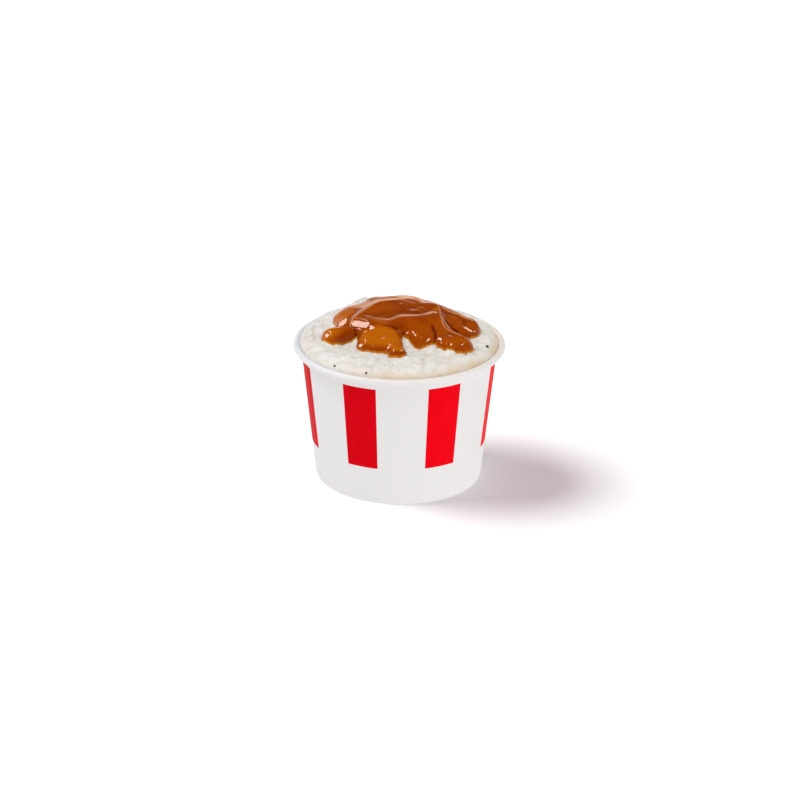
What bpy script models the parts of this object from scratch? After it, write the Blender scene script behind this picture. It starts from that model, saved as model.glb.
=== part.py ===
"""Mashed potato side: a round paper tub heaped with mashed potato under thick gravy.

Metres, +Z up. The origin is the centre of the tub's foot, on the surface it stands on,
and the side that is seen first faces -Y. Angles round the tub start at the front and grow
towards +X.
"""

import functools
import math

import bmesh
import bpy

# --- Driving dimensions, in metres -------------------------------------------------

GAP = 0.0003                # clearance kept between touching pieces

TUB_HEIGHT = 0.0655
RIM_RADIUS = 0.049          # outside of the rolled rim
FOOT_RADIUS = 0.0388        # outside of the wall where it stands
SHOULDER_RADIUS = 0.0452    # outside of the wall where it starts to flare into the rim
SHOULDER_LEVEL = 0.0612     # height of that place
PAPER = 0.0005              # thickness of the paper board
CURL_HEIGHT = 0.0031        # the rolled rim, over all
CURL_TURN = 305             # degrees through which the paper is rolled
BASE_LEVEL = 0.0075         # middle of the base disc's thickness
HEM_TOP = 0.0063            # top of the wall's hem, folded in under the base
SKIRT_FOOT = 0.0009         # lower edge of the base disc's turned-down skirt

MASH_EDGE_LEVEL = 0.0644    # where the mash meets the rim
MASH_RISE = 0.0056          # from that edge up to the rounded shoulder of the mash
MASH_ROUNDING = 9.0         # a higher power gives a tighter shoulder
HEAP_HEIGHT = 0.0074        # the heap in the middle, above the shoulder
HEAP_RADIUS = 0.034
HEAP_FLATNESS = 2.3         # a higher power gives a flatter top
HEAP_SLOPE = 1.6            # a higher power draws the heap's side in
HEAP_CENTRE = (-0.002, 0.006)

MASH_SHOULDER = 0.6          # a lower power gives a fuller shoulder

GRAVY_CORE = 0.0155         # radius of the middle, inside every notch of the edge
GRAVY_MIDDLE = 0.5          # share of the unit sphere's radius that covers this middle
GRAVY_BLEND = 0.0009        # how softly one stretch of gravy runs into the next
GRAVY_EDGE_LIFT = 0.0005    # the widest part of the gravy's rounded edge, above the mash
GRAVY_ROOT = 0.0020         # how far the uncut gravy reaches into the mash
GRAVY_FOLD_POWER = 1.3      # a higher power gives a fold's foot a shorter run
REACH_STEP = 0.0005         # step and precision of the search for the gravy's edge
REACH_PRECISION = 0.00001

# Lumps and hollows of the mash: x, y, height (below zero for a hollow), radius.
MASH_LUMPS = (
    (-0.0325, 0.0190, 0.0030, 0.0065),
    (-0.0190, 0.0290, 0.0042, 0.0095),
    (0.0050, 0.0330, 0.0012, 0.0120),
    (-0.0250, -0.0080, -0.0014, 0.0060),
    (-0.0400, -0.0010, -0.0018, 0.0035),
    (-0.0350, -0.0140, 0.0008, 0.0070),
    (-0.0180, -0.0370, 0.0008, 0.0080),
    (0.0080, -0.0380, 0.0010, 0.0090),
    (0.0300, -0.0290, 0.0008, 0.0080),
    (0.0400, -0.0080, 0.0010, 0.0060),
    (0.0350, 0.0200, -0.0014, 0.0080),
    (0.0160, -0.0230, 0.0014, 0.0050),
)

# The gravy was poured in layers. Each has a thickness, the distance from its edge at which it
# reaches that thickness, and its stretches: from x, y, half width to x, y, half width.
GRAVY_LAYERS = (
    (0.0038, 0.0050, (
        (-0.0040, 0.0018, 0.0185, 0.0060, 0.0022, 0.0185),
        (-0.0225, 0.0070, 0.0082, -0.0100, 0.0060, 0.0082),
        (-0.0215, -0.0015, 0.0078, -0.0100, 0.0020, 0.0078),
        (-0.0160, -0.0060, 0.0085, -0.0080, 0.0000, 0.0085),
        (-0.0130, -0.0155, 0.0058, -0.0050, -0.0190, 0.0060),
        (0.0100, -0.0172, 0.0050, 0.0100, -0.0060, 0.0050),
        (0.0130, -0.0155, 0.0054, 0.0110, -0.0060, 0.0054),
        (0.0286, -0.0006, 0.0088, 0.0120, 0.0050, 0.0088),
        (0.0260, 0.0045, 0.0085, 0.0120, 0.0070, 0.0085),
        (-0.0110, 0.0140, 0.0066, -0.0060, 0.0060, 0.0066),
        (0.0020, 0.0185, 0.0062, 0.0020, 0.0080, 0.0062),
        (0.0150, 0.0140, 0.0075, 0.0100, 0.0040, 0.0075),
    )),
    (0.0056, 0.0064, (
        (-0.0294, -0.0110, 0.0062, -0.0222, -0.0120, 0.0029),
    )),
    (0.0041, 0.0062, (
        (-0.0138, -0.0200, 0.0056, -0.0085, -0.0212, 0.0056),
        (-0.0085, -0.0212, 0.0056, -0.0040, -0.0222, 0.0054),
        (-0.0006, -0.0284, 0.0047, -0.0044, -0.0213, 0.0052),
    )),
    (0.0042, 0.0062, (
        (0.0225, -0.0198, 0.0058, 0.0150, -0.0060, 0.0058),
        (0.0280, -0.0196, 0.0057, 0.0180, -0.0060, 0.0057),
    )),
)

# Where the mash shows between two lobes of gravy: from x, y, half width to x, y, half width.
GRAVY_GAPS = (
    (0.0019, -0.0164, 0.0005, 0.0056, -0.0300, 0.0024),
)

# Folds of the gravy: points along the crest; height; width to the left of the crest and to its
# right, as seen from one point to the next; radius of the crest.
GRAVY_FOLDS = (
    (((-0.0227, -0.0112), (-0.0225, -0.0070), (-0.0200, -0.0044), (-0.0161, -0.0006),
      (-0.0109, 0.0053), (-0.0077, 0.0068), (-0.0028, 0.0078), (0.0040, 0.0090)),
     0.0012, 0.0020, 0.0036, 0.0008),
    (((-0.0181, -0.0068), (-0.0150, -0.0088), (-0.0121, -0.0105), (-0.0089, -0.0117),
      (-0.0053, -0.0127), (-0.0021, -0.0114), (0.0006, -0.0096), (0.0061, -0.0088),
      (0.0107, -0.0067), (0.0156, -0.0035)),
     0.0013, 0.0024, 0.0055, 0.0006),
    (((0.0150, 0.0070), (0.0177, 0.0058), (0.0186, 0.0022), (0.0187, -0.0040),
      (0.0197, -0.0100), (0.0212, -0.0130), (0.0244, -0.0150), (0.0292, -0.0190)),
     0.0013, 0.0024, 0.0045, 0.0006),
    (((0.0200, 0.0080), (0.0248, 0.0065), (0.0300, 0.0045), (0.0350, 0.0015)),
     0.0018, 0.0050, 0.0050, 0.0010),
)
GRAVY_FOLD_CUTS = 2         # how often the corners of a crest line are cut
CORNER_CUT = 0.25           # share of each straight stretch that a corner's cut takes

# Low swells of the gravy over the back of the heap: x, y, height, radius.
GRAVY_SWELLS = (
    (0.0065, 0.0150, 0.00100, 0.0045),
    (-0.0020, 0.0155, 0.00050, 0.0050),
    (-0.0100, 0.0150, 0.00050, 0.0050),
    (0.0335, 0.0010, 0.00060, 0.0040),
)

TUB_STEPS = 56              # facets round the tub
CURL_STEPS = 8
MASH_STEPS = 72
MASH_RINGS = 13
MASH_RING_SPACING = 0.85    # a lower power draws the rings towards the rim
GRAVY_STEPS = 112
GRAVY_RINGS = 18
SHARP_ANGLE = 40            # degrees; a sharper bend is shaded as an edge

# --- Shared helpers ---------------------------------------------------------------


def clear_scene():
    for leftover in list(bpy.data.objects):
        bpy.data.objects.remove(leftover, do_unlink=True)


def new_collection(name):
    collection = bpy.data.collections.new(name)
    bpy.context.scene.collection.children.link(collection)
    return collection


def new_material(name, colour, roughness, subsurface=0.0):
    material = bpy.data.materials.new(name)
    material.use_nodes = True
    shader = material.node_tree.nodes["Principled BSDF"]
    shader.inputs["Base Color"].default_value = (*colour, 1.0)
    shader.inputs["Roughness"].default_value = roughness
    shader.inputs["Metallic"].default_value = 0.0
    shader.inputs["Subsurface Weight"].default_value = subsurface
    return material


def profile_object(name, points, collection):
    """An open line of (radius, height) points in the XZ plane, ready to be turned."""
    mesh = bpy.data.meshes.new(name)
    vertices = [(radius, 0.0, height) for radius, height in points]
    edges = [(index, index + 1) for index in range(len(points) - 1)]
    mesh.from_pydata(vertices, edges, [])
    turned = bpy.data.objects.new(name, mesh)
    collection.objects.link(turned)
    return turned


def turn(turned, steps):
    """Spin the profile a full turn about Z."""
    screw = turned.modifiers.new("turn", "SCREW")
    screw.axis = "Z"
    screw.angle = math.tau
    screw.steps = steps
    screw.render_steps = steps
    screw.use_merge_vertices = True
    screw.merge_threshold = 0.00001


def thicken(shell):
    """Give a turned line of paper its thickness, half to each side."""
    solid = shell.modifiers.new("paper", "SOLIDIFY")
    solid.thickness = PAPER
    solid.offset = 0.0
    solid.use_even_offset = True
    solid.use_rim = True


def finish(piece, material):
    """Turn the modifiers into plain mesh, shade the round stretches and add the material."""
    graph = bpy.context.evaluated_depsgraph_get()
    mesh = bpy.data.meshes.new_from_object(piece.evaluated_get(graph))
    piece.modifiers.clear()
    piece.data = mesh
    mesh.shade_smooth()
    mesh.set_sharp_from_angle(angle=math.radians(SHARP_ANGLE))
    mesh.materials.clear()
    mesh.materials.append(material)


# --- The tub ----------------------------------------------------------------------


def wall_radius(level):
    """Radius of the middle of the wall's paper on its straight stretch."""
    slope = (SHOULDER_RADIUS - FOOT_RADIUS) / SHOULDER_LEVEL
    return FOOT_RADIUS - PAPER / 2 + slope * level


def curl_centre():
    return RIM_RADIUS - CURL_HEIGHT / 2, TUB_HEIGHT - CURL_HEIGHT / 2


def curl_line():
    """The rolled rim: the paper goes up, over, outwards and back under itself."""
    centre_radius, centre_level = curl_centre()
    roll = (CURL_HEIGHT - PAPER) / 2
    points = []
    for step in range(CURL_STEPS + 1):
        angle = math.pi - math.radians(CURL_TURN) * step / CURL_STEPS
        points.append((centre_radius + roll * math.cos(angle), centre_level + roll * math.sin(angle)))
    return points


def wall_line():
    """Middle of the wall's paper: up the outside from the hem, then into the curl."""
    under = PAPER / 2
    hem_inset = 2 * (PAPER + GAP)
    hem = [(wall_radius(level) - hem_inset, level) for level in (HEM_TOP, 2 * PAPER)]
    fold = [
        (wall_radius(0.0) - hem_inset + under, under),
        (wall_radius(0.0) - under, under),
    ]
    outside = [(wall_radius(level), level) for level in (2 * PAPER, SHOULDER_LEVEL)]
    return hem + fold + outside + curl_line()


def base_line():
    """Middle of the base's paper: the raised disc and its turned-down skirt."""
    skirt_inset = PAPER + GAP
    corner = 2 * PAPER
    rim = wall_radius(BASE_LEVEL) - skirt_inset
    return [
        (0.0, BASE_LEVEL),
        (rim - corner, BASE_LEVEL),
        (wall_radius(BASE_LEVEL - corner) - skirt_inset, BASE_LEVEL - corner),
        (wall_radius(SKIRT_FOOT) - skirt_inset, SKIRT_FOOT),
    ]


def build_tub(collection, paper):
    wall = profile_object("tub_wall", wall_line(), collection)
    base = profile_object("tub_base", base_line(), collection)
    for shell in (wall, base):
        turn(shell, TUB_STEPS)
        thicken(shell)
        finish(shell, paper)


# --- The mashed potato ------------------------------------------------------------


def mash_side_radius(level):
    """The mash fills the tub out to the wall, less the gap."""
    clearance = PAPER / 2 + GAP
    if level <= SHOULDER_LEVEL:
        return wall_radius(level) - clearance
    centre_radius, centre_level = curl_centre()
    neck_radius = centre_radius - (CURL_HEIGHT - PAPER) / 2
    share = (level - SHOULDER_LEVEL) / (centre_level - SHOULDER_LEVEL)
    flare = neck_radius - wall_radius(SHOULDER_LEVEL)
    return wall_radius(SHOULDER_LEVEL) + share * flare - clearance


def bell(distance, radius):
    """A smooth bump: 1 in the middle, close to 0 from about twice the radius."""
    return math.exp(-((distance / radius) ** 2))


def mash_height(x, y):
    """Level of the mash's top surface, in three layers: shoulder, heap and lumps."""
    spread = min(math.hypot(x, y) / mash_side_radius(MASH_EDGE_LEVEL), 1.0)
    inside = 1.0 - spread ** MASH_ROUNDING
    level = MASH_EDGE_LEVEL + MASH_RISE * inside ** MASH_SHOULDER
    from_heap = math.hypot(x - HEAP_CENTRE[0], y - HEAP_CENTRE[1]) / HEAP_RADIUS
    level += HEAP_HEIGHT * max(0.0, 1.0 - from_heap ** HEAP_FLATNESS) ** HEAP_SLOPE
    for lump_x, lump_y, height, radius in MASH_LUMPS:
        level += height * bell(math.hypot(x - lump_x, y - lump_y), radius) * inside
    return level


def mash_line():
    """Outline of the mash from its middle out to the rim, down the wall and back in."""
    edge = mash_side_radius(MASH_EDGE_LEVEL)
    floor = BASE_LEVEL + PAPER / 2 + GAP
    top = []
    for ring in range(MASH_RINGS + 1):
        share = math.sin(math.pi / 2 * ring / MASH_RINGS) ** MASH_RING_SPACING
        top.append((edge * share, MASH_EDGE_LEVEL))
    side = [(mash_side_radius(level), level) for level in (SHOULDER_LEVEL, floor)]
    return top + side + [(0.0, floor)]


def build_mash(collection, material):
    mash = profile_object("mash", mash_line(), collection)
    turn(mash, MASH_STEPS)
    finish(mash, material)
    for vertex in mash.data.vertices:
        if vertex.co.z > (SHOULDER_LEVEL + MASH_EDGE_LEVEL) / 2:
            vertex.co.z = mash_height(vertex.co.x, vertex.co.y)
    return mash


# --- The gravy --------------------------------------------------------------------


def place_beside(x, y, start, end):
    """Where x, y lies beside a straight stretch: distance, share of its length, and side."""
    along_x, along_y = end[0] - start[0], end[1] - start[1]
    share = ((x - start[0]) * along_x + (y - start[1]) * along_y) / (along_x ** 2 + along_y ** 2)
    share = min(1.0, max(0.0, share))
    off_x = x - start[0] - share * along_x
    off_y = y - start[1] - share * along_y
    return math.hypot(off_x, off_y), share, along_x * off_y - along_y * off_x


def distance_inside(x, y, stretch):
    """How far a place lies inside a stretch whose half width goes from one size to another."""
    start_x, start_y, start_width, end_x, end_y, end_width = stretch
    distance, share, side = place_beside(x, y, (start_x, start_y), (end_x, end_y))
    return start_width + share * (end_width - start_width) - distance


def layer_depth(x, y, stretches):
    """How far a place lies inside the edge of one layer: below zero where there is none."""
    total = sum(math.exp(distance_inside(x, y, stretch) / GRAVY_BLEND) for stretch in stretches)
    depth = GRAVY_BLEND * math.log(total)
    for gap in GRAVY_GAPS:
        depth = min(depth, -distance_inside(x, y, gap))
    return depth


def gravy_depth(x, y):
    return max(layer_depth(x, y, stretches) for thickness, rounding, stretches in GRAVY_LAYERS)


def gravy_reach(x, y):
    """Distance from the axis to the gravy's edge, in the direction of x, y."""
    inner, outer = 0.0, 0.0
    while gravy_depth(x * outer, y * outer) > 0.0:
        inner, outer = outer, outer + REACH_STEP
    while outer - inner > REACH_PRECISION:
        middle = (inner + outer) / 2
        if gravy_depth(x * middle, y * middle) > 0.0:
            inner = middle
        else:
            outer = middle
    return inner


def between(start, end, share):
    """The point at a share of the way from one point to another."""
    return tuple(a + share * (b - a) for a, b in zip(start, end))


def cut_corners(line):
    """The same open line with each corner cut off."""
    points = [line[0]]
    for start, end in zip(line, line[1:]):
        points.append(between(start, end, CORNER_CUT))
        points.append(between(start, end, 1.0 - CORNER_CUT))
    return points + [line[-1]]


def smooth_line(line):
    for turn_number in range(GRAVY_FOLD_CUTS):
        line = cut_corners(line)
    return line


@functools.cache
def smooth_folds():
    return [(smooth_line(crest), *sizes) for crest, *sizes in GRAVY_FOLDS]


def fold_height(x, y):
    """Height that the gravy's folds and swells add."""
    level = 0.0
    for crest, height, left_width, right_width, radius in smooth_folds():
        places = [place_beside(x, y, start, end) for start, end in zip(crest, crest[1:])]
        distance, share, side = min(places)
        width = left_width if side > 0.0 else right_width
        away = (math.hypot(distance, radius) - radius) / width
        level += height * math.exp(-away ** GRAVY_FOLD_POWER)
    for swell_x, swell_y, height, radius in GRAVY_SWELLS:
        level += height * bell(math.hypot(x - swell_x, y - swell_y), radius)
    return level


def roundness(depth, rounding):
    """Height of a layer's edge as a share of its full thickness: a quarter circle."""
    short = 1.0 - min(1.0, max(0.0, depth / rounding))
    return math.sqrt(1.0 - short ** 2)


def gravy_thickness(x, y):
    folds = fold_height(x, y)
    return max((thickness + folds) * roundness(layer_depth(x, y, stretches), rounding)
               for thickness, rounding, stretches in GRAVY_LAYERS)


def plan_radius(spread, x, y):
    """Distance from the axis for a point of the unit sphere, in the direction of x, y.

    The inner part of the sphere covers the round middle, the outer part runs on to the edge.
    """
    if spread < GRAVY_MIDDLE:
        return GRAVY_CORE * spread / GRAVY_MIDDLE
    share = (spread - GRAVY_MIDDLE) / (1.0 - GRAVY_MIDDLE)
    return GRAVY_CORE + share * (gravy_reach(x, y) - GRAVY_CORE)


def pour(vertex):
    """Move one point of a unit sphere to its place on the poured gravy."""
    x, y, lift = vertex.co
    spread = math.hypot(x, y)
    if spread > REACH_PRECISION:
        x, y = x / spread, y / spread
        radius = plan_radius(spread, x, y)
        x, y = x * radius, y * radius
    middle = mash_height(x, y) + GRAVY_EDGE_LIFT
    if lift > 0.0:
        vertex.co = (x, y, middle + gravy_thickness(x, y))
    else:
        vertex.co = (x, y, middle - GRAVY_ROOT * math.sqrt(abs(lift)))


def build_gravy(collection, cutters, mash, material):
    """A ball spread over the heap, then cut back to the surface it lies on."""
    ball = bmesh.new()
    bmesh.ops.create_uvsphere(ball, u_segments=GRAVY_STEPS, v_segments=GRAVY_RINGS, radius=1.0)
    for vertex in ball.verts:
        pour(vertex)
    mesh = bpy.data.meshes.new("gravy")
    ball.to_mesh(mesh)
    ball.free()
    gravy = bpy.data.objects.new("gravy", mesh)
    collection.objects.link(gravy)

    cutter = bpy.data.objects.new("mash_cutter", mash.data)
    cutter.location.z = GAP
    cutter.hide_render = True
    cutter.display_type = "WIRE"
    cutters.objects.link(cutter)

    cut = gravy.modifiers.new("lie_on_mash", "BOOLEAN")
    cut.operation = "DIFFERENCE"
    cut.object = cutter
    finish(gravy, material)


def build():
    clear_scene()
    parts = new_collection("mashed_potato_side")
    cutters = new_collection("cutters")
    paper = new_material("paper", (0.86, 0.85, 0.84), roughness=0.45)
    potato = new_material("mashed_potato", (0.80, 0.74, 0.62), roughness=0.6, subsurface=0.3)
    sauce = new_material("gravy", (0.36, 0.10, 0.01), roughness=0.12, subsurface=0.2)
    build_tub(parts, paper)
    mash = build_mash(parts, potato)
    build_gravy(parts, cutters, mash, sauce)


build()
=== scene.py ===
"""Looks of the mashed potato side: a striped paper tub heaped with mash under thick gravy.

Metres, +Z up, front towards -Y. Angles round the tub start at the front and grow towards +X.
"""

import math

import bmesh
import bpy
import numpy as np
from mathutils import Matrix, Vector, noise


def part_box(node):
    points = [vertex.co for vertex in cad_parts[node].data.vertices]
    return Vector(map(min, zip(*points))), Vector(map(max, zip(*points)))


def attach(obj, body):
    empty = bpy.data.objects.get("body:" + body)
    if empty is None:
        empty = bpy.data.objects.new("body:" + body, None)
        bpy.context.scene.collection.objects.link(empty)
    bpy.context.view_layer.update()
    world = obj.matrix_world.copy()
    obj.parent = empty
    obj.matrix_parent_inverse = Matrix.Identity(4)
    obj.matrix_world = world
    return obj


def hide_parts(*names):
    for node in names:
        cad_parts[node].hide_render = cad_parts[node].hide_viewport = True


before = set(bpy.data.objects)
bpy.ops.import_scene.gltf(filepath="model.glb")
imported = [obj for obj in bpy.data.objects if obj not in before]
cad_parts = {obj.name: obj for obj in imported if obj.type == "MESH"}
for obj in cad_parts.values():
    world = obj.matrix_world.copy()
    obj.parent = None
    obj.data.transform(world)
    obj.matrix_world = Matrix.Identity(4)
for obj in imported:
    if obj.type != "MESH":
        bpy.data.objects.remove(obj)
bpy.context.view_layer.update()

# --- Sizes taken from the tub wall in model.glb -----------------------------------

TUB_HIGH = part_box("tub_wall")[1]
TUB_HEIGHT = TUB_HIGH.z
RIM_RADIUS = TUB_HIGH.x

# --- The tub's own sizes ----------------------------------------------------------

GAP = 0.0003                # clearance kept between two turns of paper
FOOT_RADIUS = 0.0388        # outside of the wall where it stands
SHOULDER_RADIUS = 0.0452    # outside of the wall where it starts to flare into the rim
SHOULDER_LEVEL = 0.0612     # height of that place
PAPER = 0.0005              # thickness of the paper board
CURL_HEIGHT = 0.0031        # the rolled rim, over all
CURL_TURN = 305             # degrees through which the paper is rolled
BASE_LEVEL = 0.0075         # middle of the base disc's thickness
HEM_TOP = 0.0063            # top of the wall's hem, folded in under the base
SKIRT_FOOT = 0.0009         # lower edge of the base disc's turned-down skirt
TUB_STEPS = 240             # facets round the tub
WALL_LEVELS = 12            # points up the straight stretch of the wall
CURL_STEPS = 22             # straight stretches round the rolled rim
MERGE_WITHIN = 0.00001      # points nearer than this become one on the axis
SHARP_ANGLE = 50            # degrees; a sharper bend is shaded as an edge

STRIPE_COUNT = 7
STRIPE_WIDTH = 20.8         # degrees
STRIPE_GAP_ANGLE = 2.0      # middle of the gap that faces the front, in degrees
STRIPE_LOW = 0.0182         # level at which the stripes start
STRIPE_HIGH = 0.0590        # level at which they stop
RED_TURN = (-0.025, 0.025)  # x from which to which the red grows fuller
# The rim's front and right are painted warmer: painted warm light.
RIM_WARM_LIGHT_RISE = (0.0643, 0.0654)    # levels from which to which the rim takes its tint
RIM_WARM_LIGHT_TURN = (-0.030, 0.040)     # x - y from which to which that tint grows
PAPER_GLOSS = 0.22
PRINT_GLOSS = 0.02

# --- The mash ---------------------------------------------------------------------

MASH_EDGE_LEVEL = 0.0644    # where the mash meets the rim
MASH_RISE = 0.0056          # from that edge up to the rounded shoulder of the mash
MASH_ROUNDING = 9.0         # a higher power gives a tighter shoulder
MASH_SHOULDER = 0.6         # a lower power gives a fuller shoulder
HEAP_HEIGHT = 0.0074        # the heap in the middle, above the shoulder
HEAP_RADIUS = 0.034
HEAP_FLATNESS = 2.3         # a higher power gives a flatter top
HEAP_SLOPE = 1.6            # a higher power draws the heap's side in
HEAP_CENTRE = (-0.002, 0.006)
MASH_MIDDLE_LEVEL = 0.035   # a level half way down the mash's hidden side
MASH_TOP_OVERLAP = PAPER / 4        # how far the top's edge reaches into the paper
MASH_SIDE_OVERLAP = PAPER / 8       # how far the hidden side does
MASH_RINGS = 170            # rings of points from the middle to the rim
MASH_STEPS = 440            # points round each
MASH_RING_SPACING = 0.8     # a lower power draws the rings towards the rim

# Lumps and hollows of the mash: x, y, height (below zero for a hollow), radius.
MASH_LUMPS = (
    (-0.0325, 0.0190, 0.0030, 0.0065),
    (-0.0190, 0.0290, 0.0042, 0.0095),
    (0.0050, 0.0330, 0.0012, 0.0120),
    (-0.0250, -0.0080, -0.0014, 0.0060),
    (-0.0400, -0.0010, -0.0018, 0.0035),
    (-0.0350, -0.0140, 0.0008, 0.0070),
    (-0.0180, -0.0370, 0.0008, 0.0080),
    (0.0080, -0.0380, 0.0010, 0.0090),
    (0.0300, -0.0290, 0.0008, 0.0080),
    (0.0400, -0.0080, 0.0010, 0.0060),
    (0.0350, 0.0200, -0.0014, 0.0080),
    (0.0160, -0.0230, 0.0014, 0.0050),
)

# Relief of the mash's surface: size of the lumps, height.
MASH_RELIEF = (
    (0.0110, 0.00080),
    (0.0048, 0.00050),
    (0.0021, 0.00034),
)
# Grooves left by the spoon: their spacing, depth and sharpness.
MASH_GROOVES = (
    (0.0140, 0.00075, 7.0),
    (0.0060, 0.00045, 5.0),
)
MASH_LIFT = 0.0003          # raises the relief to make up for the grooves
MASH_CALM_FROM = 0.90       # share of the radius outside which the relief calms down
MASH_CALM = 0.6             # how much calmer it is at the rim
MASH_OCTAVES = 2            # how many sizes of noise are added up
RELIEF_SLICE = 0.0          # levels at which each kind of noise is read
GROOVE_SLICE = 0.5
# Creases in the mash: from x, y to x, y, depth, width.
MASH_CREASES = (
    (-0.0393, 0.0070, -0.0383, -0.0105, 0.0006, 0.0011),
    (0.0173, -0.0233, 0.0128, -0.0303, 0.0006, 0.0004),
)

# Pepper flakes on the mash: x, y, length.
PEPPER_FLAKES = (
    (-0.0289, -0.0345, 0.0014),
    (0.0400, -0.0150, 0.0019),
    (-0.0146, -0.0426, 0.0015),
    (0.0183, -0.0421, 0.0007),
    (0.0305, -0.0262, 0.0007),
)
PEPPER_SEED = 7
PEPPER_FINENESS = 2         # how often the faces of a flake are split
PEPPER_TILT = 0.5           # radians, either way
PEPPER_TURN = 3.0           # radians, at most
PEPPER_WIDTHS = (0.6, 0.85)         # as a share of the length, from and to
PEPPER_HEIGHTS = (0.45, 0.6)
PEPPER_CRUMPLE = 0.35       # how far a flake's surface goes in and out, as a share
PEPPER_CRUMPLE_RATE = 3.0   # a higher rate gives more and smaller dents
PEPPER_NOISE_STEP = 900.0   # sets the flakes apart in the noise
PEPPER_LIFT = 0.08          # height of a flake's middle, as a share of its length

# --- The gravy --------------------------------------------------------------------

GRAVY_BLEND = 0.0009        # how softly one pour runs into the next within a layer
GRAVY_SEAM = 0.0002         # how softly one layer lies on the next
GRAVY_REACH = 0.045         # half the side of the grid that the gravy is made on
GRAVY_CELL = 0.00028        # the grid's spacing
GRAVY_NEAR = 0.0012         # how far outside the gravy's edge its noise is still worked out
GRAVY_SKIRT = 0.0007        # how far outside the edge the sheet still reaches, into the mash
GRAVY_SKIRT_FALL = 2.5      # slope at which it goes down there
GRAVY_SKIRT_DEEPEST = 0.001 # distance outside the edge beyond which it goes no lower
GRAVY_LIFT = 0.0002         # level of the edge above the mash
GRAVY_ROOT = 0.0012         # level of the underside below the mash
GRAVY_DRAPE = (0.0002, 0.0018)      # depths inside the edge over which it leaves the mash's relief
GRAVY_WOBBLE = (0.006, 0.0004)      # the edge's wandering: size and reach
GRAVY_WAVES = ((0.0090, 0.00025), (0.0040, 0.00008))    # size and height
WOBBLE_OCTAVES = 2
WAVE_OCTAVES = 1
WOBBLE_SLICE = 0.03         # levels at which each kind of noise is read
WAVE_SLICE = 0.9
# The hollows found with these spreads are where the gravy gets painted shade.
HOLLOW_SPREADS = ((3, 1.0), (8, 0.35))      # reach in grid cells, and weight

# Each layer has a thickness, the distance from its edge at which it reaches that thickness, how
# light it looks, and its pours: from x, y, half width to x, y, half width.
# How light a layer looks is partly thinner gravy and partly painted light.
GRAVY_BODY = (0.0038, 0.0050, 0.0, (
    (-0.0040, 0.0018, 0.0185, 0.0060, 0.0022, 0.0185),
    (-0.0225, 0.0070, 0.0082, -0.0100, 0.0060, 0.0082),
    (-0.0215, -0.0015, 0.0078, -0.0100, 0.0020, 0.0078),
    (-0.0160, -0.0060, 0.0085, -0.0080, 0.0000, 0.0085),
    (-0.0130, -0.0155, 0.0058, -0.0050, -0.0190, 0.0060),
    (0.0100, -0.0172, 0.0050, 0.0100, -0.0060, 0.0050),
    (0.0130, -0.0155, 0.0054, 0.0110, -0.0060, 0.0054),
    (0.0286, -0.0006, 0.0088, 0.0120, 0.0050, 0.0088),
    (0.0260, 0.0045, 0.0085, 0.0120, 0.0070, 0.0085),
    (-0.0110, 0.0140, 0.0066, -0.0060, 0.0060, 0.0066),
    (0.0020, 0.0185, 0.0062, 0.0020, 0.0080, 0.0062),
    (0.0150, 0.0140, 0.0075, 0.0100, 0.0040, 0.0075),
))
GRAVY_FINGER = (0.0056, 0.0064, 0.3, (
    (-0.0294, -0.0110, 0.0062, -0.0222, -0.0120, 0.0029),
))
GRAVY_FRONT = (0.0041, 0.0062, 1.0, (
    (-0.0138, -0.0200, 0.0056, -0.0085, -0.0212, 0.0056),
    (-0.0085, -0.0212, 0.0056, -0.0040, -0.0222, 0.0054),
    (-0.0006, -0.0284, 0.0047, -0.0044, -0.0213, 0.0052),
))
GRAVY_RIGHT = (0.0042, 0.0062, 0.3, (
    (0.0225, -0.0198, 0.0058, 0.0150, -0.0060, 0.0058),
    (0.0280, -0.0196, 0.0057, 0.0180, -0.0060, 0.0057),
))
GRAVY_LAYERS = (GRAVY_BODY, GRAVY_FINGER, GRAVY_FRONT, GRAVY_RIGHT)

# Flats in the gravy: from x, y to x, y; how deep it cuts; slopes along x and y; radius.
GRAVY_FLATS = (
    (-0.0208, -0.0085, -0.0150, -0.0123, 0.0008, 0.54, 0.65, 0.0014),
    (-0.0128, -0.0146, -0.0118, -0.0150, 0.0003, 0.54, 0.65, 0.0012),
    (-0.0265, -0.0015, -0.0264, -0.0016, 0.0004, 0.54, 0.65, 0.0026),
    (0.0288, -0.0047, 0.0330, -0.0053, 0.0008, -0.466, 0.677, 0.0008),
    (0.0034, -0.0157, 0.0037, -0.0157, 0.0006, 0.54, 0.65, 0.0006),
    (0.0128, -0.0201, 0.0146, -0.0195, 0.0004, 0.54, 0.65, 0.0007),
    (0.0178, -0.0196, 0.0188, -0.0206, 0.0004, 0.54, 0.65, 0.0006),
    (0.0233, -0.0239, 0.0239, -0.0240, 0.0004, 0.54, 0.65, 0.0006),
    (0.0284, -0.0235, 0.0298, -0.0233, 0.0004, 0.54, 0.65, 0.0006),
    (-0.0052, -0.0273, -0.0047, -0.0274, 0.0004, 0.54, 0.65, 0.0006),
    (0.0010, -0.0305, 0.0016, -0.0303, 0.0004, 0.54, 0.65, 0.0006),
    (-0.0180, -0.0224, -0.0172, -0.0228, 0.0006, 0.54, 0.65, 0.0009),
    (-0.0336, -0.0140, -0.0328, -0.0144, 0.0005, 0.54, 0.65, 0.0010),
)
GRAVY_FLAT_RISE = 1.2       # slope at which a flat's level rises outside its radius

# Low swells over the back of the heap: x, y, height, radius.
GRAVY_SWELLS = (
    (0.0065, 0.0150, 0.00100, 0.0045),
    (-0.0020, 0.0155, 0.00050, 0.0050),
    (-0.0100, 0.0150, 0.00050, 0.0050),
    (0.0335, 0.0010, 0.00060, 0.0040),
)

GRAVY_PALE_AND_LIT_FULL = 0.0030   # distance in from its edge at which a layer is as light as it gets
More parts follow.
